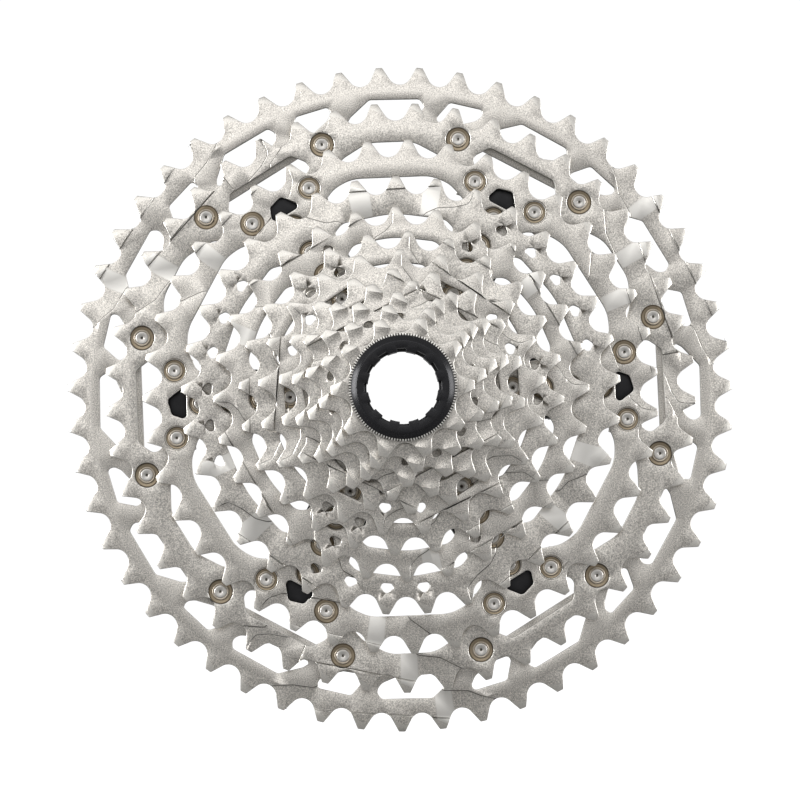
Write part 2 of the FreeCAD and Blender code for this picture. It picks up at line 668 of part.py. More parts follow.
def build_carrier():
    body = new_body("carrier")
    arm_end = f"({RIVET_CIRCLE[45]} + Sizes.arm_overhang)"
    tip_back = f"({seat_plane(39)} + Sizes.arm_tip_thickness)"
    steps = {teeth: f"({TAB_END[teeth]} - Sizes.tab_gap)" for teeth in (39, 33, 28)}
    backs = {teeth: f"({seat_plane(teeth)} + Sizes.arm_thickness)" for teeth in (33, 28, 24)}
    section = [(PILOT_RADIUS, "0"),
               (HUB_RADIUS, "0"),
               (HUB_RADIUS, backs[24])]
    for outer, inner in ((28, 24), (33, 28)):
        behind_step = f"({steps[outer]} - Sizes.step_wall)"
        section += [(behind_step, backs[inner]), (behind_step, backs[outer])]
    section += [(f"({steps[39]} - Sizes.step_wall)", backs[33]),
                (steps[39], tip_back),
                (arm_end, tip_back),
                (arm_end, seat_plane(39))]
    for outer, inner in ((39, 33), (33, 28), (28, 24)):
        section += [(steps[outer], seat_plane(outer)), (steps[outer], seat_plane(inner))]
    section += [(HUB_RADIUS, seat_plane(24)),
                (HUB_RADIUS, seat_plane(21)),
                (SPLINE_MINOR, seat_plane(21)),
                (SPLINE_MINOR, "(-Sizes.pilot_depth)"),
                (PILOT_RADIUS, "(-Sizes.pilot_depth)")]
    revolve(body, section)
    far = size(arm_end) / math.cos(math.radians(30)) + 2
    neck = size(RIVET_CIRCLE[39])
    broad = size(RIVET_CIRCLE[33]) + 1
    hub = size("Sizes.hub_root_radius")
    tip_half = size("Sizes.arm_tip_half")
    neck_half = size("Sizes.arm_neck_half")
    arm_half = size("Sizes.arm_half")
    side = [(far, 30 - side_angle(tip_half, far), 0),
            (neck + 4, 30 - side_angle(tip_half, neck + 4), 4),
            (neck - 2, 30 - side_angle(neck_half, neck - 2), 8),
            (broad, 30 - side_angle(arm_half, broad), 6),
            (hub + 4, 30 - side_angle(arm_half, hub + 4), 3)]
    opposite = [(radius, -angle, bend) for radius, angle, bend in reversed(side)]
    window = side + [(hub + 0.6, 0, 20)] + opposite
    sketch = new_sketch(body, "arm_gaps", "XZ_Plane", "-40")
    polar_loop(sketch, [(radius, ARM_ANGLE + 30 + angle, bend) for radius, angle, bend in window])
    repeat(body, [pocket(body, sketch)], "6")
    for teeth in (39, 33, 28, 24):
        radius = size(RIVET_CIRCLE[teeth])
        spots = [(radius, angle) for angle in ARM_ANGLES]
        sketch = new_sketch(body, "rivet_holes", "XZ_Plane", "-40")
        circles(sketch, spots, HOLE_RADIUS)
        pocket(body, sketch)
        if teeth == 39:
            continue
        floor = f"({seat_plane(teeth)} + Sizes.carrier_grip)"
        sketch = new_sketch(body, "tail_pockets", "XZ_Plane", floor)
        circles(sketch, spots, "Sizes.tail_pocket_radius")
        pocket(body, sketch)
    spline_bore(body, "-40")
    body.setExpression("Placement.Base.y", front_plane(51))


# ---------------------------------------------------------------- rivets and collars


def stacked_discs(label, spots, layers, bore_text=None):
    """One piece at each spot: discs of (radius, from Y, to Y), and a bore where one is given."""
    body = new_body(label)
    body.AllowCompound = True
    for radius_text, start_text, end_text in layers:
        sketch = new_sketch(body, "discs", "XZ_Plane", start_text)
        circles(sketch, spots, radius_text)
        if bore_text is not None:
            circles(sketch, spots, bore_text)
        pad(body, sketch, f"({end_text}) - ({start_text})")
    return body


def rivets(label, teeth, circle_text, angles, grip_text):
    """Rivets with the head let into the front sprocket and the tail closed behind the grip."""
    radius = size(circle_text)
    spots = [(radius, angle) for angle in angles]
    front = "0.001"
    body = stacked_discs(label, spots, [
        ("Sizes.rivet_head_radius", front, "Sizes.rivet_head_height"),
        ("Sizes.rivet_shank_radius", "Sizes.rivet_head_height", grip_text),
        ("Sizes.rivet_head_radius", grip_text, f"{grip_text} + Sizes.rivet_tail_height")])
    body.setExpression("Placement.Base.y", front_plane(teeth))


def collars(label, teeth, circle_text, angles):
    """Spacing collars that fill the gap behind a sprocket."""
    radius = size(circle_text)
    spots = [(radius, angle) for angle in angles]
    layer = ("Sizes.collar_radius", "Sizes.plate_thickness", "Sizes.sprocket_spacing")
    body = stacked_discs(label, spots, [layer], HOLE_RADIUS)
    body.setExpression("Placement.Base.y", front_plane(teeth))


def build_fasteners():
    between_plates = "(Sizes.sprocket_spacing + Sizes.plate_thickness)"
    on_carrier = "(Sizes.plate_thickness + Sizes.carrier_grip)"
    on_arm_tip = "(Sizes.plate_thickness + Sizes.arm_tip_thickness)"
    rivets("rivets_51_45", 45, RIVET_CIRCLE[51], BOSS_ANGLES, between_plates)
    collars("collars_51_45", 45, RIVET_CIRCLE[51], BOSS_ANGLES)
    rivets("rivets_45_39", 39, RIVET_CIRCLE[45], PAIR_ANGLES, between_plates)
    collars("collars_45_39", 39, RIVET_CIRCLE[45], PAIR_ANGLES)
    rivets("rivets_39_carrier", 39, RIVET_CIRCLE[39], ARM_ANGLES, on_arm_tip)
    for teeth in (33, 28, 24):
        rivets(f"rivets_{teeth}_carrier", teeth, RIVET_CIRCLE[teeth], ARM_ANGLES, on_carrier)


# ---------------------------------------------------------------- spacers, washer and lock ring


def build_spacer(behind, ahead):
    """Plain ring between two loose sprockets."""
    body = new_body(f"spacer_{behind}_{ahead}")
    bore = "(Sizes.spline_radius + Sizes.spacer_bore_clearance)"
    revolve(body, [(bore, "0"), ("Sizes.spacer_radius", "0"), ("Sizes.spacer_radius", COLLAR_LENGTH),
                   (bore, COLLAR_LENGTH)])
    body.setExpression("Placement.Base.y", f"{front_plane(behind)} - {COLLAR_LENGTH}")


def build_washer():
    """Serrated washer under the lock ring's flange."""
    body = new_body("lock_ring_washer")
    bore = f"({SHANK_RADIUS} + Sizes.washer_clearance)"
    outer = "Sizes.washer_radius"
    revolve(body, [(bore, "0"), (outer, "0"), (outer, "Sizes.washer_thickness"),
                   (bore, "Sizes.washer_thickness")])
    radius = size(outer)
    step = 360 / size("Sizes.washer_serrations")
    sketch = new_sketch(body, "serration", "XZ_Plane")
    polar_loop(sketch, [(radius + 0.5, -0.55 * step, 0), (radius - 0.35, 0, 0),
                        (radius + 0.5, 0.55 * step, 0)])
    repeat(body, [pocket(body, sketch)], "Sizes.washer_serrations")
    body.setExpression("Placement.Base.y", f"{front_plane(10)} - Sizes.washer_thickness")


def build_lock_ring():
    """Flanged ring with a threaded shank, and lugs for the tool at the mouth of its bore."""
    body = new_body("lock_ring")
    flange = "Sizes.lock_ring_flange"
    end = f"({flange} + Sizes.lock_ring_shank)"
    lugs_end = "Sizes.tool_lug_length"
    stop_end = f"({lugs_end} + Sizes.tool_stop)"
    revolve(body, [(LUG_RADIUS, "0"),
                   ("Sizes.lock_ring_face_radius", "0"),
                   ("Sizes.lock_ring_flange_radius", "Sizes.lock_ring_chamfer"),
                   ("Sizes.lock_ring_flange_radius", flange),
                   (SHANK_RADIUS, flange),
                   (SHANK_RADIUS, end),
                   (GROOVE_RADIUS, end),
                   (GROOVE_RADIUS, stop_end),
                   (LOCK_RING_BORE, stop_end),
                   (LOCK_RING_BORE, lugs_end),
                   (LUG_RADIUS, lugs_end)])
    crest = size(LUG_RADIUS)
    deep = size(GROOVE_RADIUS)
    wide = 180 / size("Sizes.tool_lugs") - side_angle(size("Sizes.tool_lug_width") / 2, crest)
    sketch = new_sketch(body, "tool_groove", "XZ_Plane")
    groove = [(crest - 1, -wide, 0), (deep, -wide, 0.2), (deep, wide, 0.2), (crest - 1, wide, 0)]
    polar_loop(sketch, [(radius, TOOL_GROOVE_ANGLE + angle, bend) for radius, angle, bend in groove])
    repeat(body, [pocket(body, sketch, lugs_end)], "Sizes.tool_lugs")
    body.setExpression("Placement.Base.y",
                       f"{front_plane(10)} - Sizes.washer_thickness - Sizes.lock_ring_flange")


# ---------------------------------------------------------------- build, check and write

build_51()
build_45()
build_39()
build_33()
build_28()
build_24()
build_21()
build_18()
build_16()
build_14()
build_12()
build_10()
build_carrier()
build_fasteners()
for behind, ahead in ((21, 18), (18, 16), (16, 14)):
    build_spacer(behind, ahead)
build_washer()
build_lock_ring()
doc.recompute()

for item in doc.Objects:
    if "Invalid" in item.State or "Error" in item.State:
        raise RuntimeError(f"{item.Name} failed: {item.State}")
for node in NODES:
    shape = node.Shape
    if shape.isNull() or not shape.isValid() or not shape.Solids:
        raise RuntimeError(f"{node.Label} has no valid solid")
    print(f"{node.Label:20s} solids {len(shape.Solids):3d}  volume {shape.Volume:10.1f}")
for node in NODES:
    node.Shape.exportStep(f"parts/{node.Label}.step")
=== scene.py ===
# %% [markdown]
# # A twelve-sprocket bicycle cassette
#
# This lesson gives the finished look to a cassette whose pieces were already drawn in CAD. The
# real thing is a stack of stamped steel sprockets, nickel plated, riveted to a black carrier and
# closed by a black lock ring. We could model everything again, but the CAD pieces are exact, so we
# load them as a fixed frame, soften their edges, turn new rivets, and spend our time on the
# surfaces.

# %% Load the frame
import math

import bmesh
import bpy
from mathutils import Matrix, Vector


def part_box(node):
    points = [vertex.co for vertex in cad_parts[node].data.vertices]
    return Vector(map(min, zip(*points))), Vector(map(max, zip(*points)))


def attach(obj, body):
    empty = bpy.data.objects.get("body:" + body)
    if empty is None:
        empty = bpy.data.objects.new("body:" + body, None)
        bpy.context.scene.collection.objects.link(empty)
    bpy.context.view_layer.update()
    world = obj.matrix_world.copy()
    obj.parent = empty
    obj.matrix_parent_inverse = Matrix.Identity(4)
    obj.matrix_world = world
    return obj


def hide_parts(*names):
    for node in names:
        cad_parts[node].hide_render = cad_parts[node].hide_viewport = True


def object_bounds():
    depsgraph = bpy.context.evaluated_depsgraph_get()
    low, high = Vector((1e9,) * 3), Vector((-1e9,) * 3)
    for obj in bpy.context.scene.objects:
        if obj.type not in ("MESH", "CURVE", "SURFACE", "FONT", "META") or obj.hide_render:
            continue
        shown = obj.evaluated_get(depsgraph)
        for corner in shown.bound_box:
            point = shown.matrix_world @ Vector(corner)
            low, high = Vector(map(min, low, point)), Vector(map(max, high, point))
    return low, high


MM = 0.001
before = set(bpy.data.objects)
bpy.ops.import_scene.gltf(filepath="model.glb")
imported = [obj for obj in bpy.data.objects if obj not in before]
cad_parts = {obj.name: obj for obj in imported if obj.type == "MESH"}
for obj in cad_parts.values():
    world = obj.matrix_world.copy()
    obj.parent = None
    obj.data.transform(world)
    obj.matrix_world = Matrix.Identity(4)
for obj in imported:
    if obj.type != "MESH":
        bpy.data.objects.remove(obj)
cad_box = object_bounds()
print("nodes loaded:", len(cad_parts), "box in mm:", [round(x / MM, 1) for x in cad_box[1] - cad_box[0]])

# %% [markdown]
# ## The camera
#
# The cassette is seen almost straight from the front, along the axle, by a long lens a little below
# the axle. A long lens keeps the big sprocket behind and the small ones in front nearly to scale.
# We set the place and the turn as plain numbers, because a tracking constraint would hide them.

# %% Camera
CAMERA_PLACE = Vector((-14.27, -867.74, -61.0)) * MM
CAMERA_TURN = (93.948, 0.064, -0.922)
camera_data = bpy.data.cameras.new("studio_camera")
camera_data.sensor_width = 36.0
camera_data.lens = 124.70
camera_data.clip_start = 0.05
camera_data.clip_end = 20.0
camera = bpy.data.objects.new("studio_camera", camera_data)
camera.location = CAMERA_PLACE
camera.rotation_euler = [math.radians(angle) for angle in CAMERA_TURN]
bpy.context.scene.collection.objects.link(camera)
bpy.context.scene.camera = camera
print("lens:", camera_data.lens, "mm, distance:", round(CAMERA_PLACE.length, 3), "m")

# %% [markdown]
# ## The studio
#
# Bare metal shows whatever is round it, so the room is half of the finish. A real studio would use
# a white table, a white wall and large soft lamps. We build the same, starting with a wide floor
# just under the cassette. The Standard view keeps white as white.

# %% Floor
FLOOR_GAP = 0.2 * MM
scene = bpy.context.scene
scene.view_settings.view_transform = "Standard"
floor_mesh = bpy.data.meshes.new("floor")
sheet = bmesh.new()
bmesh.ops.create_grid(sheet, x_segments=1, y_segments=1, size=6.0)
bmesh.ops.translate(sheet, vec=(0, 0, cad_box[0].z - FLOOR_GAP), verts=sheet.verts)
sheet.to_mesh(floor_mesh)
sheet.free()
floor = bpy.data.objects.new("floor", floor_mesh)
scene.collection.objects.link(floor)
print("floor height in mm:", round(cad_box[0].z / MM, 1))

# %% [markdown]
# ### Lamps
#
# Five rectangular softboxes stand round the cassette: one above the camera, one on each side at the
# height of the axle, where the slope of the lock ring reflects them, and two behind for the back.
# Point lamps would be simpler, but they leave hard spots on metal.

# %% Softboxes
CASSETTE_MIDDLE = Vector((0, -0.02, 0))


def soft_lamp(name, place, size, watts):
    """A rectangular softbox aimed at the middle of the cassette."""
    lamp = bpy.data.lights.new(name, "AREA")
    lamp.shape = "RECTANGLE"
    lamp.size, lamp.size_y = size
    lamp.energy = watts
    holder = bpy.data.objects.new(name, lamp)
    holder.location = place
    holder.rotation_euler = (CASSETTE_MIDDLE - Vector(place)).to_track_quat("-Z", "Y").to_euler()
    scene.collection.objects.link(holder)


LAMPS = {
    "top_softbox": ((-0.25, -0.95, 0.75), (1.4, 0.7), 3.6),
    "left_softbox": ((-0.95, -0.33, 0.04), (0.35, 0.8), 11.0),
    "right_softbox": ((0.95, -0.33, 0.04), (0.35, 0.8), 7.0),
    "rear_left_softbox": ((-0.9, 0.9, 0.5), (0.8, 0.8), 3.0),
    "rear_right_softbox": ((0.9, 0.9, 0.5), (0.8, 0.8), 3.0),
}
for name, (place, size, watts) in LAMPS.items():
    soft_lamp(name, place, size, watts)
print("lamps:", len(LAMPS))

# %% [markdown]
# ### The white room
#
# The room is brightest a little above the horizon, less bright overhead and dim near the ground,
# which gives the plates a slow change of tone from top to bottom. One flat colour would make them
# look like paper. Behind the cassette the room has to be plain white, so the Light Path node gives
# the camera a white backdrop and gives the metal the shaded room.

# %% World
ROOM_STRENGTH = 0.74
BACKDROP_STRENGTH = 1.05
GROUND_TONE = (0.22, 0.215, 0.21, 1)
HORIZON_TONE = (0.92, 0.92, 0.92, 1)
OVERHEAD_TONE = (0.62, 0.62, 0.62, 1)
BRIGHTEST_HEIGHT = 0.55
world = bpy.data.worlds.new("white_room")
scene.world = world
world.use_nodes = True
room = world.node_tree
sky = room.nodes["Background"]
sky.inputs["Strength"].default_value = ROOM_STRENGTH
backdrop = room.nodes.new("ShaderNodeBackground")
backdrop.inputs["Color"].default_value = (1, 1, 1, 1)
backdrop.inputs["Strength"].default_value = BACKDROP_STRENGTH
direction = room.nodes.new("ShaderNodeTexCoord")
split = room.nodes.new("ShaderNodeSeparateXYZ")
room.links.new(direction.outputs["Generated"], split.inputs["Vector"])
height = room.nodes.new("ShaderNodeValToRGB")
ground, overhead = height.color_ramp.elements
ground.position = 0.0
ground.color = GROUND_TONE
overhead.position = 1.0
overhead.color = OVERHEAD_TONE
height.color_ramp.elements.new(BRIGHTEST_HEIGHT).color = HORIZON_TONE
lift = room.nodes.new("ShaderNodeMath")
lift.operation = "MULTIPLY_ADD"
lift.inputs[1].default_value = 0.5
lift.inputs[2].default_value = 0.5
room.links.new(split.outputs["Z"], lift.inputs[0])
room.links.new(lift.outputs[0], height.inputs["Fac"])
room.links.new(height.outputs["Color"], sky.inputs["Color"])
rays = room.nodes.new("ShaderNodeLightPath")
choose = room.nodes.new("ShaderNodeMixShader")
room.links.new(rays.outputs["Is Camera Ray"], choose.inputs["Fac"])
room.links.new(sky.outputs["Background"], choose.inputs[1])
room.links.new(backdrop.outputs["Background"], choose.inputs[2])
room.links.new(choose.outputs["Shader"], room.nodes["World Output"].inputs["Surface"])
print("room nodes:", len(room.nodes))

# %% [markdown]
# ## Shared surface effects
#
# The plated steel, the anodised metal and the turned pins all have a fine grain and painted shade in
# their inner corners, and several show bands, or stains with painted shade. Copying those nodes into
# every material would work, but one change would then have to be made many times. A node group is
# built once and placed with its own values. The helpers here make a group, wire a Math node, and read a
# place on the piece.

# %% Group helpers
FLOAT = "NodeSocketFloat"
COLOUR = "NodeSocketColor"


def start_group(name, inputs, outputs):
    """A shader node group with named sockets; inputs are (label, type, value)."""
    group = bpy.data.node_groups.new(name, "ShaderNodeTree")
    for label, kind, value in inputs:
        socket = group.interface.new_socket(label, in_out="INPUT", socket_type=kind)
        socket.default_value = value
    for label, kind in outputs:
        group.interface.new_socket(label, in_out="OUTPUT", socket_type=kind)
    return group, group.nodes.new("NodeGroupInput"), group.nodes.new("NodeGroupOutput")


def math_node(tree, operation, first, second=None, third=None):
    """A Math node whose inputs are sockets or plain numbers; returns its output."""
    node = tree.nodes.new("ShaderNodeMath")
    node.operation = operation
    for socket, value in zip(node.inputs, (first, second, third)):
        if isinstance(value, bpy.types.NodeSocket):
            tree.links.new(value, socket)
        elif value is not None:
            socket.default_value = value
    return node.outputs[0]


def soft_mask(tree, inside, steepness):
    """1 where inside is above zero and 0 where it is below, with a soft step between."""
    ramp = math_node(tree, "MULTIPLY_ADD", inside, steepness, 0.5)
    return math_node(tree, "MAXIMUM", math_node(tree, "MINIMUM", ramp, 1.0), 0.0)


def noise_node(tree, scale, detail):
    """Noise on Object coordinates, with scale in grains per metre; returns its 0 to 1 output."""
    where = tree.nodes.new("ShaderNodeTexCoord")
    noise = tree.nodes.new("ShaderNodeTexNoise")
    noise.inputs["Scale"].default_value = scale
    noise.inputs["Detail"].default_value = detail
    tree.links.new(where.outputs["Object"], noise.inputs["Vector"])
    return noise.outputs["Fac"]


def axle_view(tree):
    """The X and Z of a point, as seen along the axle."""
    where = tree.nodes.new("ShaderNodeTexCoord")
    axes = tree.nodes.new("ShaderNodeSeparateXYZ")
    tree.links.new(where.outputs["Object"], axes.inputs["Vector"])
    return axes.outputs["X"], axes.outputs["Z"]


def folded_turn(tree, x, z, middle, repeat):
    """Degrees round the axle from the nearest of the angles middle, middle + repeat and so on."""
    turn = math_node(tree, "MULTIPLY", math_node(tree, "ARCTAN2", z, x), 180 / math.pi)
    half_repeat = math_node(tree, "MULTIPLY", repeat, 0.5)
    shifted = math_node(tree, "ADD", math_node(tree, "SUBTRACT", turn, middle), half_repeat)
    return math_node(tree, "SUBTRACT", math_node(tree, "FLOORED_MODULO", shifted, repeat), half_repeat)


print("helpers ready for", FLOAT, "and", COLOUR)

# %% [markdown]
# ### Blasted grain and painted corner shade
#
# The plates are blasted before plating, which leaves tiny pits about a third of a millimetre
# across. Each pit tilts the surface a little, so it sparkles lighter or darker. Real pits in the
# mesh would need millions of faces. Two noises do it: a fine one for the pits, and a wide, faint
# one for the uneven tone of the plating. The Ambient Occlusion node finds inner corners from the
# shape itself and paints them darker. This is painted shade, where less light falls.

# %% Blasted grain and painted shade group
PITS_PER_METRE = 2900.0
PATCHES_PER_METRE = 60.0
SHADE_REACH = 1.8 * MM
PIT_ROUGHNESS = 0.25
grain, grain_in, grain_out = start_group(
    "blasted_grain_and_corner_shade",
    [("Colour", COLOUR, (0.6, 0.6, 0.6, 1)), ("Speckle", FLOAT, 0.1), ("Mottle", FLOAT, 0.05),
     ("Roughness", FLOAT, 0.4), ("Smooth", FLOAT, 0.0), ("Corner_shade", FLOAT, 0.5)],
    [("Colour", COLOUR), ("Roughness", FLOAT), ("Height", FLOAT)])
pits = math_node(grain, "SUBTRACT", noise_node(grain, PITS_PER_METRE, 2.0), 0.5)
patches = math_node(grain, "SUBTRACT", noise_node(grain, PATCHES_PER_METRE, 3.0), 0.5)
rough_part = math_node(grain, "SUBTRACT", 1.0, grain_in.outputs["Smooth"])
speckle = math_node(grain, "MULTIPLY", pits, grain_in.outputs["Speckle"])
speckle = math_node(grain, "MULTIPLY", speckle, rough_part)
mottle = math_node(grain, "MULTIPLY", patches, grain_in.outputs["Mottle"])
factor = math_node(grain, "ADD", math_node(grain, "ADD", speckle, mottle), 1.0)
# Painted shade: the Ambient Occlusion node darkens the colour in inner corners and between close parts,
# where less light falls.
shade_probe = grain.nodes.new("ShaderNodeAmbientOcclusion")
shade_probe.samples = 8
shade_probe.inputs["Distance"].default_value = SHADE_REACH
shaded_share = math_node(grain, "SUBTRACT", 1.0, shade_probe.outputs["AO"])
unshaded_share = math_node(grain, "SUBTRACT", 1.0, math_node(grain, "MULTIPLY", shaded_share, grain_in.outputs["Corner_shade"]))
factor = math_node(grain, "MULTIPLY", factor, unshaded_share)
shade = grain.nodes.new("ShaderNodeVectorMath")
shade.operation = "SCALE"
grain.links.new(grain_in.outputs["Colour"], shade.inputs[0])
grain.links.new(factor, shade.inputs["Scale"])
grain.links.new(shade.outputs["Vector"], grain_out.inputs["Colour"])
coarse = math_node(grain, "MULTIPLY_ADD", pits, PIT_ROUGHNESS, grain_in.outputs["Roughness"])
grain.links.new(coarse, grain_out.inputs["Roughness"])
grain.links.new(math_node(grain, "MULTIPLY", pits, rough_part), grain_out.inputs["Height"])
print("grain nodes:", len(grain.nodes))

# %% [markdown]
# ### Milled bands
#
# Where the chain climbs, a cutter has passed over a few teeth and left a smoother, lighter band
# across them. Each band is an angle round the axle, and the three on a sprocket stand a third of a
# turn apart. We could cut the faces along the band, but its edge is soft. So a mask is worked out
# from the angle of the point round the axle. The same group, repeated every few degrees, also paints
# bright stripes on the dark steel of the washer's rim: painted highlights for the ridges of its knurl.

# %% Milled band group
THIRD_OF_A_TURN = 120.0
BAND_STEEPNESS = 3.0
band, band_in, band_out = start_group(
    "milled_band",
    [("Middle", FLOAT, 0.0), ("Half_width", FLOAT, 2.0), ("Repeat", FLOAT, THIRD_OF_A_TURN)],
    [("Mask", FLOAT)])
folded = folded_turn(band, *axle_view(band), band_in.outputs["Middle"], band_in.outputs["Repeat"])
inside = math_node(band, "SUBTRACT", band_in.outputs["Half_width"], math_node(band, "ABSOLUTE", folded))
band.links.new(soft_mask(band, inside, BAND_STEEPNESS), band_out.inputs["Mask"])
print("band nodes:", len(band.nodes))

# %% [markdown]
# ### Rivet stains and painted seat shade
#
# The shallow seat round each rivet is painted brown. This is partly a real stain of oil and plating
# salts and partly painted shade in the recess. The seat is darkest at its rim, a painted shadow at the
# foot of the seat wall. The same seats repeat on each of the carrier's six arms, so the angle of a point
# is first folded into the share of one arm, and then its distance from the seat gives the ring. A ring
# for each seat would need dozens of nodes, and folding the angle lets one set draw six.

# %% Rivet stain and shade group
SEAT_RADIUS = 3.85 * MM
RIM_RADIUS = 3.65 * MM
RIM_HALF_WIDTH = 0.2 * MM
SEAT_STEEPNESS = 8 / MM
RIM_STEEPNESS = 6 / MM
ARM_TURN = 60.0
stain_and_shade, stain_and_shade_in, stain_and_shade_out = start_group(
    "rivet_stain_and_shade",
    [("Circle", FLOAT, 0.08), ("Angle", FLOAT, 0.0), ("Repeat", FLOAT, ARM_TURN)],
    [("Seat", FLOAT), ("Rim", FLOAT)])
x, z = axle_view(stain_and_shade)
reach = math_node(stain_and_shade, "SQRT", math_node(stain_and_shade, "MULTIPLY_ADD", x, x, math_node(stain_and_shade, "MULTIPLY", z, z)))
folded = folded_turn(stain_and_shade, x, z, stain_and_shade_in.outputs["Angle"], stain_and_shade_in.outputs["Repeat"])
folded = math_node(stain_and_shade, "MULTIPLY", folded, math.pi / 180)
across = math_node(stain_and_shade, "MULTIPLY", reach, math_node(stain_and_shade, "SINE", folded))
outwards = math_node(stain_and_shade, "MULTIPLY", reach, math_node(stain_and_shade, "COSINE", folded))
along = math_node(stain_and_shade, "SUBTRACT", outwards, stain_and_shade_in.outputs["Circle"])
square = math_node(stain_and_shade, "MULTIPLY_ADD", across, across, math_node(stain_and_shade, "MULTIPLY", along, along))
away = math_node(stain_and_shade, "SQRT", square)
in_seat = math_node(stain_and_shade, "SUBTRACT", SEAT_RADIUS, away)
off_rim = math_node(stain_and_shade, "ABSOLUTE", math_node(stain_and_shade, "SUBTRACT", away, RIM_RADIUS))
in_rim = math_node(stain_and_shade, "SUBTRACT", RIM_HALF_WIDTH, off_rim)
stain_and_shade.links.new(soft_mask(stain_and_shade, in_seat, SEAT_STEEPNESS), stain_and_shade_out.inputs["Seat"])
stain_and_shade.links.new(soft_mask(stain_and_shade, in_rim, RIM_STEEPNESS), stain_and_shade_out.inputs["Rim"])
print("stain nodes:", len(stain_and_shade.nodes))

# %% [markdown]
# ## Materials
#
# Every finish is a Principled shader in its own material, with the groups feeding only what
# changes over the surface. Numbers that are the same everywhere sit on the shader itself. One
# helper makes all of the metals, so that they differ only in their values.

# %% Material helpers
# The seat colour is partly a real stain and partly painted shade; the rim colour is a painted shadow at the
# foot of the seat wall.
SEAT_STAIN_AND_SHADE = (0.34, 0.28, 0.20)
SEAT_RIM_SHADE = (0.12, 0.095, 0.065)
PIT_DEPTH = 0.1 * MM


def start_material(name, metallic, roughness, colour):
    """A material with a Principled shader; returns the material, its nodes and its shader."""
    material = bpy.data.materials.new(name)
    material.use_nodes = True
    material.diffuse_color = (*colour, 1)
    shader = material.node_tree.nodes["Principled BSDF"]
    shader.inputs["Metallic"].default_value = metallic
    shader.inputs["Roughness"].default_value = roughness
    shader.inputs["Base Color"].default_value = (*colour, 1)
    return material, material.node_tree, shader


def place_group(tree, group, values):
    """One use of a node group, with its own values by label."""
    node = tree.nodes.new("ShaderNodeGroup")
    node.node_tree = group
    for label, value in values.items():
        node.inputs[label].default_value = value
    return node


def mix_colour(tree, factor, base, colour):
    """Lay a plain colour over a colour socket where the factor says; returns the new socket."""
    blend = tree.nodes.new("ShaderNodeMix")
    blend.data_type = "RGBA"
    tree.links.new(factor, blend.inputs["Factor"])
    tree.links.new(base, blend.inputs["A"])
    blend.inputs["B"].default_value = (*colour, 1)
    return blend.outputs["Result"]


def grained(name, colour, metallic=1.0, roughness=0.4, speckle=2.1, mottle=0.16, bump=0.4, corner_shade=0.75,
            bands=(), band_colour=None, band_repeat=THIRD_OF_A_TURN, stains_and_shade=()):
    """A metal with the blasted grain and painted corner shade; bands are (middle, half width), stains with
    painted seat shade (circle, angle, repeat).
    """
    material, tree, shader = start_material(name, metallic, roughness, colour)
    pitted = place_group(tree, grain, {"Colour": (*colour, 1), "Speckle": speckle, "Mottle": mottle,
                                       "Roughness": roughness, "Corner_shade": corner_shade})
    tone = pitted.outputs["Colour"]
    masks = [place_group(tree, band, {"Middle": middle, "Half_width": half_width, "Repeat": band_repeat})
             for middle, half_width in bands]
    if masks:
        together = masks[0].outputs["Mask"]
        for other in masks[1:]:
            together = math_node(tree, "MAXIMUM", together, other.outputs["Mask"])
        tree.links.new(together, pitted.inputs["Smooth"])
        tone = mix_colour(tree, together, tone, band_colour)
    for circle, angle, repeat in stains_and_shade:
        ring = place_group(tree, stain_and_shade, {"Circle": circle, "Angle": angle, "Repeat": repeat})
        # Painted shade in each rivet seat, darkest at its rim, laid over a real brown stain.
        tone = mix_colour(tree, ring.outputs["Seat"], tone, SEAT_STAIN_AND_SHADE)
        tone = mix_colour(tree, ring.outputs["Rim"], tone, SEAT_RIM_SHADE)
    tree.links.new(tone, shader.inputs["Base Color"])
    tree.links.new(pitted.outputs["Roughness"], shader.inputs["Roughness"])
    relief = tree.nodes.new("ShaderNodeBump")
    relief.inputs["Strength"].default_value = bump
    relief.inputs["Distance"].default_value = PIT_DEPTH
    tree.links.new(pitted.outputs["Height"], relief.inputs["Height"])
    tree.links.new(relief.outputs["Normal"], shader.inputs["Normal"])
    return material


print("pit depth in mm:", PIT_DEPTH / MM)

# %% [markdown]
# ### Plated steel
#
# Nickel is a warm grey. The rolled edges are painted lighter than the plate, a painted highlight on
# top of the light that their bevels catch, and the tooth tips are rubbed brighter. The sheared walls
# and the inner corners, such as the foot of each shift gate, are painted dull and dark as painted
# shade. One material for all of it would lose the thin bright and dark lines that let the eye tell
# the plates apart.

# %% Plated steel
NICKEL = (0.66, 0.63, 0.585)
HIGHLIGHT_NICKEL = (0.8, 0.78, 0.735)
MILLED_NICKEL = (0.84, 0.82, 0.78)
BANDS = {
    51: [(38.0, 1.6)],
    45: [(31.7, 1.8)],
    39: [(24.0, 2.0)],
    33: [(102.0, 3.0), (321.5, 2.5)],
    28: [(40.0, 3.0)],
}
# Painted highlight: the bevelled outer edges are painted lighter than the plate, on top of the light that
# the bevels really catch.
painted_highlight_edge = grained("painted_highlight_edge", HIGHLIGHT_NICKEL, roughness=0.34, speckle=0.2, bump=0.05, corner_shade=0.3)
coined_tip = grained("coined_tip", (0.72, 0.695, 0.65), roughness=0.42, speckle=0.6, bump=0.2, corner_shade=0.4)
# Painted shade: a near-black nickel for the inner corners of the plates, such as the foot of each shift
# gate, and for the rivets' centre mark.
painted_shade_foot = grained("painted_shade_foot", (0.13, 0.12, 0.105), roughness=0.5, speckle=0.3, bump=0.1)
# Painted shade: a dark nickel for the walls that run along the axle and, on small sprockets, the inner
# corners.
painted_shade_wall = grained("painted_shade_wall", (0.25, 0.235, 0.21), roughness=0.36, speckle=0.8, bump=0.3)
print("edge materials:", painted_highlight_edge.name, coined_tip.name, painted_shade_foot.name, painted_shade_wall.name)

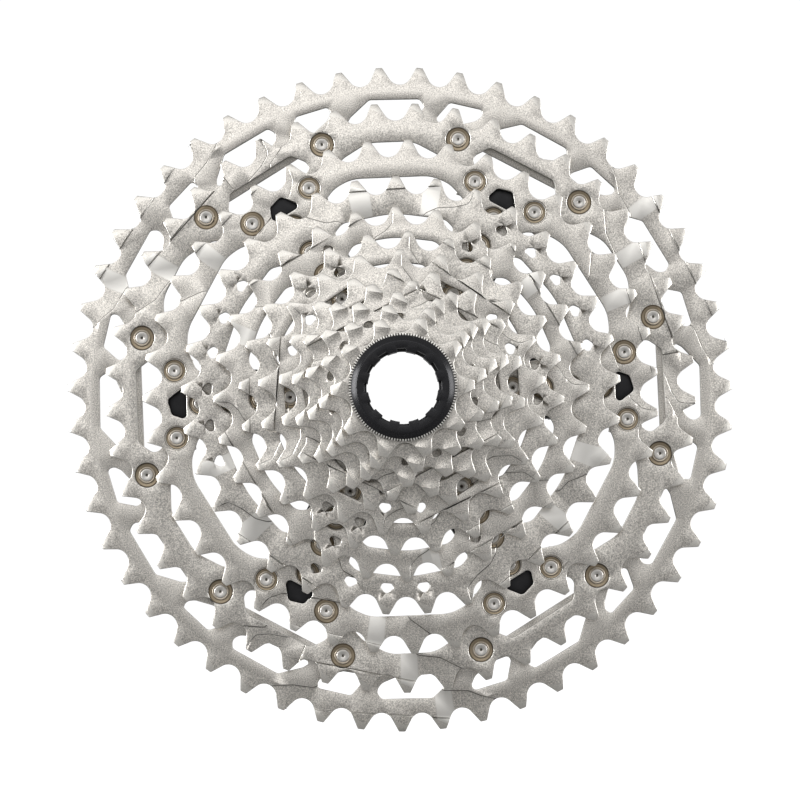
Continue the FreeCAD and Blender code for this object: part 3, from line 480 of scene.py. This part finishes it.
# %% [markdown]
# ### Black metal and turned steel
#
# The carrier and the lock ring are anodised: the colour is in a thin hard skin, so the surface is
# dark, satin and a little metallic. A plain black paint would show no soft highlight. The pins,
# collars and washer are bare turned steel, and the washer's rim is knurled. The washer's colour is
# painted near black with bright stripes round its rim: painted shade and painted highlights for the
# ridges of the knurl.

# %% Black metal and turned steel
black_carrier = grained("black_anodised", (0.022, 0.022, 0.024), metallic=0.6, roughness=0.36,
                        speckle=0.4, bump=0.15)
black_ring = grained("black_lock_ring", (0.015, 0.015, 0.017), metallic=0.5, roughness=0.26,
                     speckle=0.3, bump=0.05)
black_spacer = grained("black_spacer", (0.03, 0.03, 0.032), metallic=0.5, roughness=0.42,
                       speckle=0.3, bump=0.1)
collar_steel = grained("collar_steel", (0.30, 0.26, 0.21), roughness=0.38, speckle=0.2, bump=0.1)
# Painted shade and painted highlights: near-black steel with bright stripes every few degrees stands in for
# the lit and shaded ridges of the knurl.
painted_knurl_glints = grained("washer_steel", (0.05, 0.046, 0.04), roughness=0.3, speckle=0.1, bump=0.05,
                        bands=[(0.0, 0.75)], band_colour=(0.95, 0.93, 0.88), band_repeat=3.0)
pin_steel = grained("pin_steel", (0.62, 0.60, 0.57), roughness=0.42, speckle=0.3, bump=0.1, corner_shade=0.5)
pin_rim = grained("pin_rim", (0.50, 0.44, 0.36), roughness=0.4, speckle=0.3, bump=0.1, corner_shade=0.5)
print("materials:", len(bpy.data.materials))

# %% [markdown]
# ### The floor
#
# The floor must look white, but a truly white floor would throw so much light up that the undersides
# of the plates would glow. So it is a mid grey with a faint unevenness, and it gives off light that
# only the camera sees.

# %% Floor paint
FLOOR_GLOW = 0.9
FLOOR_GREY = 0.28
FLOOR_UNEVENNESS = 0.04
floor_paint, floor_tree, floor_shader = start_material("pale_floor", 0.0, 0.9, (0.9, 0.9, 0.9))
floor_shader.inputs["Emission Strength"].default_value = FLOOR_GLOW
seen = floor_tree.nodes.new("ShaderNodeLightPath")
floor_tree.links.new(seen.outputs["Is Camera Ray"], floor_shader.inputs["Emission Color"])
dusty = math_node(floor_tree, "MULTIPLY_ADD", noise_node(floor_tree, 3.0, 2.0), FLOOR_UNEVENNESS, FLOOR_GREY)
floor_tree.links.new(dusty, floor_shader.inputs["Base Color"])
floor_mesh.materials.append(floor_paint)
print("floor paint:", floor_paint.name)

# %% [markdown]
# ## Softened edges
#
# A stamped plate has slightly rolled edges, and they catch the light as thin bright lines. A CAD
# plate has perfectly sharp ones. We could fake them in the shader, but real edges look right from
# all sides. So each plate is copied, its doubled vertices are merged, and its sharp edges are
# bevelled. The narrow new faces take a material slot of their own, one for outer edges and one for
# inner corners, which a bevel fills instead of rounding off.

# %% Copy and soften a CAD piece
FACE, ROLLED, INNER, TIP, WALL = range(5)
MERGE_REACH = 0.002 * MM
SHARP_FOLD = 32.0
SLIGHT_FOLD = 10.0
SHADING_FOLD = 50.0
FLAT_FRONT = 0.9


def merged_copy(node):
    """A bmesh of a CAD node with its doubled vertices merged."""
    copy = bmesh.new()
    copy.from_mesh(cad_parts[node].data)
    bmesh.ops.remove_doubles(copy, verts=copy.verts, dist=MERGE_REACH)
    bmesh.ops.dissolve_degenerate(copy, dist=MERGE_REACH, edges=copy.edges)
    return copy


def folds_over(edge, degrees):
    """Whether the two faces of an edge meet at more than this angle."""
    return len(edge.link_faces) == 2 and edge.calc_face_angle(0) > math.radians(degrees)


def hollow_share(face):
    """Length of a face's concave sides less the length of its convex ones."""
    return sum(edge.calc_length() * (-1 if edge.is_convex else 1) for edge in face.edges
               if folds_over(edge, SLIGHT_FOLD))


def soften(copy, width):
    """Bevel the sharp edges; the new narrow faces take the slot ROLLED, or INNER in a corner."""
    for face in copy.faces:
        face.material_index = FACE
    sharp = [edge for edge in copy.edges if folds_over(edge, SHARP_FOLD)]
    made = bmesh.ops.bevel(copy, geom=sharp, offset=width, offset_type="OFFSET", affect="EDGES",
                           segments=2, profile=0.5, material=-1, clamp_overlap=False)
    for face in made["faces"]:
        face.material_index = INNER if hollow_share(face) > 0 else ROLLED
    return len(sharp)


def finish_shape(copy, name, materials, body, nodes):
    """Turn a bmesh into a finished piece that stands for its CAD nodes."""
    bmesh.ops.triangulate(copy, faces=[face for face in copy.faces if len(face.verts) > 4])
    for face in copy.faces:
        face.smooth = abs(face.normal.y) < FLAT_FRONT
    mesh = bpy.data.meshes.new(name)
    copy.to_mesh(mesh)
    copy.free()
    mesh.set_sharp_from_angle(angle=math.radians(SHADING_FOLD))
    for material in materials:
        mesh.materials.append(material)
    piece = bpy.data.objects.new(name, mesh)
    scene.collection.objects.link(piece)
    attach(piece, body)
    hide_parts(*nodes)
    return piece


print("slots:", FACE, ROLLED, INNER, TIP, WALL)

# %% [markdown]
# ## Where the rivets stand
#
# The stains and the new rivets both need the middle of every rivet. The CAD file holds a group of
# rivets as one node, so we walk from vertex to vertex to part it into its separate solids. Typing
# the places in by hand would break as soon as a size changed.

# %% Rivet places
RIVET_NODES = ("rivets_51_45", "rivets_45_39", "rivets_39_carrier", "rivets_33_carrier",
               "rivets_28_carrier", "rivets_24_carrier")


def islands(node):
    """Low and high corner of the box of each separate solid in a CAD node."""
    copy = merged_copy(node)
    waiting = set(copy.verts)
    found = []
    while waiting:
        grown = [waiting.pop()]
        corners = []
        while grown:
            vertex = grown.pop()
            corners.append(vertex.co.copy())
            for edge in vertex.link_edges:
                other = edge.other_vert(vertex)
                if other in waiting:
                    waiting.remove(other)
                    grown.append(other)
        low = Vector([min(c[k] for c in corners) for k in range(3)])
        high = Vector([max(c[k] for c in corners) for k in range(3)])
        found.append((low, high))
    copy.free()
    return found


rivet_spots = {node: islands(node) for node in RIVET_NODES}
print({node: len(spots) for node, spots in rivet_spots.items()})

# %% [markdown]
# ## Sprockets
#
# Each sprocket is a flat plate with coined tooth tips, sheared walls and seats for its rivets. We
# sort its faces by how they lie: a slightly sloping face far out is a tip, and one that runs along
# the axle is a wall. Picking faces by hand would take hours on twelve plates. The walls get painted
# shade. The inner corners, such as the foot of each shift gate, get near-black painted shade on the
# sprockets with more than 28 teeth and the lighter painted wall shade on the others. The six loose
# sprockets ride their own bodies, because they slide off the hub one by one.

# %% Sprocket values
EDGE = 0.2 * MM
TIP_DEPTH = 4.5 * MM
TIP_SLOPE = (0.9, 0.995)
WALL_SLOPE = 0.3
PAINTED_SHADE_FOOT_TEETH = 28
TEETH = (51, 45, 39, 33, 28, 24, 21, 18, 16, 14, 12, 10)
LOOSE_TEETH = (21, 18, 16, 14, 12, 10)
SEATS_OF = {45: ["rivets_51_45"], 39: ["rivets_45_39", "rivets_39_carrier"], 33: ["rivets_33_carrier"],
            28: ["rivets_28_carrier"], 24: ["rivets_24_carrier"]}


def seat_stains_and_shade(group):
    """Stains with painted shade round the rivets of a group: one for each place that repeats on every
    carrier arm.
    """
    centres = [(low + high) / 2 for low, high in rivet_spots[group]]
    turns = sorted({round(math.degrees(math.atan2(c.z, c.x)) % ARM_TURN, 1) % ARM_TURN for c in centres})
    circle = math.hypot(centres[0].x, centres[0].z)
    return [(circle, turn, ARM_TURN) for turn in turns]


def sort_plate_faces(copy, outer_radius):
    """Give the coined tips and the sheared walls of a plate their own slots."""
    for face in copy.faces:
        middle = face.calc_center_median()
        far_out = math.hypot(middle.x, middle.z) > outer_radius - TIP_DEPTH
        if face.material_index == FACE and far_out and TIP_SLOPE[0] < -face.normal.y < TIP_SLOPE[1]:
            face.material_index = TIP
        elif face.material_index == FACE and abs(face.normal.y) < WALL_SLOPE:
            face.material_index = WALL


print("sprockets:", len(TEETH), "of them loose:", len(LOOSE_TEETH))

# %% Sprockets
for teeth in TEETH:
    node = f"sprocket_{teeth}"
    copy = merged_copy(node)
    edges = soften(copy, EDGE)
    sort_plate_faces(copy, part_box(node)[1].x)
    stains_and_shade = [one for group in SEATS_OF.get(teeth, ()) for one in seat_stains_and_shade(group)]
    plate = grained(f"nickel_{teeth}", NICKEL, bands=BANDS.get(teeth, ()), band_colour=MILLED_NICKEL,
                    stains_and_shade=stains_and_shade)
    # Painted shade in the inner corners: near black on the large sprockets, the lighter wall shade on the
    # small ones.
    painted_corner_shade = painted_shade_foot if teeth > PAINTED_SHADE_FOOT_TEETH else painted_shade_wall
    body = f"step_{teeth}" if teeth in LOOSE_TEETH else "root"
    piece = finish_shape(copy, f"plate_{teeth}", [plate, painted_highlight_edge, painted_corner_shade, coined_tip, painted_shade_wall],
                         body, [node])
    print(piece.name, "sharp edges", edges, "faces", len(piece.data.polygons))

# %% [markdown]
# ## Carrier
#
# The black carrier holds the six large sprockets on its stepped arms. Its edges are machined with a
# small bevel and then anodised, so it takes the same treatment as the plates, with one finish on
# all of its faces.

# %% Carrier
copy = merged_copy("carrier")
soften(copy, EDGE)
piece = finish_shape(copy, "carrier_body", [black_carrier] * 3, "root", ["carrier"])
print(piece.name, "faces", len(piece.data.polygons))

# %% [markdown]
# ## Rivets
#
# Each rivet is a turned pin: a low dished head with a small centre mark and a groove inside its
# rim, a shank, and a tail that was pressed flat behind. A cylinder with bevels would miss the dish
# and the groove. A turned shape is its outline spun about its own axis, so we draw half of the
# outline, spin it, and set one in each seat.

# %% Spin helper
SPIN_MERGE = 0.001 * MM


def spun(outline, steps):
    """A closed solid: an outline of (radius, Y) points, from axis to axis, spun about Y."""
    turned = bmesh.new()
    points = [turned.verts.new((radius, y, 0)) for radius, y in outline]
    lines = [turned.edges.new(pair) for pair in zip(points, points[1:])]
    bmesh.ops.spin(turned, geom=points + lines, cent=(0, 0, 0), axis=(0, 1, 0), dvec=(0, 0, 0),
                   angle=2 * math.pi, steps=steps, use_merge=True, use_duplicate=False)
    bmesh.ops.remove_doubles(turned, verts=turned.verts, dist=SPIN_MERGE)
    bmesh.ops.recalc_face_normals(turned, faces=turned.faces)
    return turned


print("points of a spun outline merge within", SPIN_MERGE / MM, "mm")

# %% Rivets
SPIN_STEPS = 28
PIN_RIM_START = 2.0 * MM
CENTRE_MARK_END = 0.4 * MM
# Painted shade: the faces of the dished centre mark take the near-black material.
PIN_RIM, PIN_MARK_SHADE = 1, 2


def rivet_outline(front, back):
    """Head with a centre mark, shank and flattened tail, between two Y planes."""
    return [(r * MM, y) for r, y in (
        (0.0, front + 0.4 * MM), (0.3, front + 0.36 * MM), (0.45, front + 0.2 * MM),
        (1.0, front + 0.12 * MM), (1.6, front), (1.9, front + 0.06 * MM),
        (2.0, front + 0.22 * MM), (2.1, front + 0.22 * MM), (2.2, front + 0.12 * MM),
        (2.45, front + 0.12 * MM), (2.62, front + 0.24 * MM), (2.65, front + 0.5 * MM),
        (1.98, front + 0.5 * MM), (1.98, back - 0.8 * MM), (2.65, back - 0.8 * MM),
        (2.75, back - 0.4 * MM), (2.5, back - 0.1 * MM), (1.9, back), (0.0, back))]


def rivet_mesh(low, high):
    """One rivet as a mesh in its place, with slots for its steel, its rim and the painted shade of its
    centre mark.
    """
    one = spun(rivet_outline(low.y, high.y), SPIN_STEPS)
    for face in one.faces:
        middle = face.calc_center_median()
        reach = math.hypot(middle.x, middle.z)
        if reach > PIN_RIM_START:
            face.material_index = PIN_RIM
        elif reach < CENTRE_MARK_END:
            face.material_index = PIN_MARK_SHADE
    bmesh.ops.translate(one, verts=one.verts, vec=((low.x + high.x) / 2, 0, (low.z + high.z) / 2))
    mesh = bpy.data.meshes.new("one_rivet")
    one.to_mesh(mesh)
    one.free()
    return mesh


for node, spots in rivet_spots.items():
    many = bmesh.new()
    for low, high in spots:
        mesh = rivet_mesh(low, high)
        many.from_mesh(mesh)
        bpy.data.meshes.remove(mesh)
    name = node.replace("rivets_", "pins_")
    piece = finish_shape(many, name, [pin_steel, pin_rim, painted_shade_foot], "root", [node])
    print(piece.name, "faces", len(piece.data.polygons))

# %% [markdown]
# ## Collars and spacers
#
# The collars and spacers are plain rings, deep inside the stack. They could be softened too, but
# nobody sees their edges and their CAD shapes are right, so they keep them and only take a finish.

# %% Rings that keep their CAD shape
RING_FINISHES = {"collars_51_45": collar_steel, "collars_45_39": collar_steel,
                 "spacer_21_18": black_spacer, "spacer_18_16": black_spacer, "spacer_16_14": black_spacer}
for node, material in RING_FINISHES.items():
    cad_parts[node].data.materials.clear()
    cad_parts[node].data.materials.append(material)
print("rings with a new finish:", len(RING_FINISHES))

# %% [markdown]
# ## Washer and lock ring
#
# The knurled washer and the black lock ring are right in front. They are turned and not stamped, so
# their edges are crisper than those of the plates, and each gets its own smaller bevel.

# %% Washer
WASHER_EDGE = 0.05 * MM
copy = merged_copy("lock_ring_washer")
soften(copy, WASHER_EDGE)
piece = finish_shape(copy, "washer_body", [painted_knurl_glints] * 3, "washer", ["lock_ring_washer"])
print(piece.name, "faces", len(piece.data.polygons))

# %% Lock ring
LOCK_RING_EDGE = 0.12 * MM
copy = merged_copy("lock_ring")
soften(copy, LOCK_RING_EDGE)
piece = finish_shape(copy, "lock_ring_body", [black_ring] * 3, "ring", ["lock_ring"])
print(piece.name, "faces", len(piece.data.polygons))
